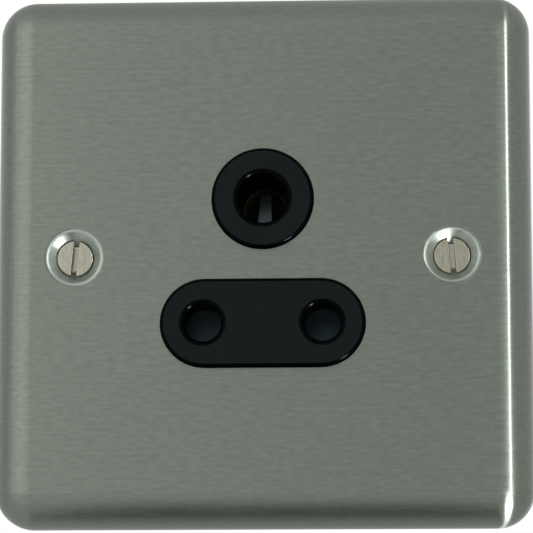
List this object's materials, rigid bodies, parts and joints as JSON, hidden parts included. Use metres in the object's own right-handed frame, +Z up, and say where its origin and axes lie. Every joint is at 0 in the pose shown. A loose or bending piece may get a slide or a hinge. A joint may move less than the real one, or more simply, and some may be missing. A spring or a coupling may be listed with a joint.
{
  "type": "round pin socket",
  "caption": "Flush wall socket for round pins: pressed steel plate with rolled edge, black round and oblong collars, sprung shutter and screw terminals behind.",
  "frame": {"origin": "centre of the plate on the wall plane, midway between the fixing screws", "axes": "+Z up the wall, +Y into the wall, the face looks towards -Y, +X to the right as seen from the front"},
  "size_m": [0.086, 0.0271, 0.086],
  "materials": {
    "plate_steel": "satin, brushed across",
    "nickel_screw": "nickel plated",
    "black_moulding": "satin",
    "housing_moulding": "matt",
    "shutter_nylon": "satin",
    "spring_steel": "bright drawn",
    "contact_brass": "rolled",
    "terminal_brass": "machined",
    "zinc_steel": "zinc plated"
  },
  "bodies": {
    "socket": {"front_plate": "plate_steel", "plate_studs": "zinc_steel", "stud_washers": "zinc_steel", "stud_nuts": "zinc_steel", "front_moulding": "black_moulding", "contact_housing": "housing_moulding", "rear_cover": "housing_moulding", "shutter_spring": "spring_steel", "earth_contact": "contact_brass", "live_contact": "contact_brass", "neutral_contact": "contact_brass", "earth_clip": "spring_steel", "live_clip": "spring_steel", "neutral_clip": "spring_steel", "earth_terminal": "terminal_brass", "live_terminal": "terminal_brass", "neutral_terminal": "terminal_brass", "terminal_screws": "zinc_steel", "earth_strap": "contact_brass", "housing_screws": "zinc_steel", "fixing_screws": "nickel_screw"},
    "shutter": {"shutter": "shutter_nylon"}
  },
  "joints": [
    {"name": "shutter_slide", "type": "slide", "parent": "socket", "child": "shutter", "axis": [0, 0, -1], "range_m": [0, 0.0064], "stiffness_N_per_m": 120, "springref_m": -0.006, "deforming": ["shutter_spring"]}
  ]
}
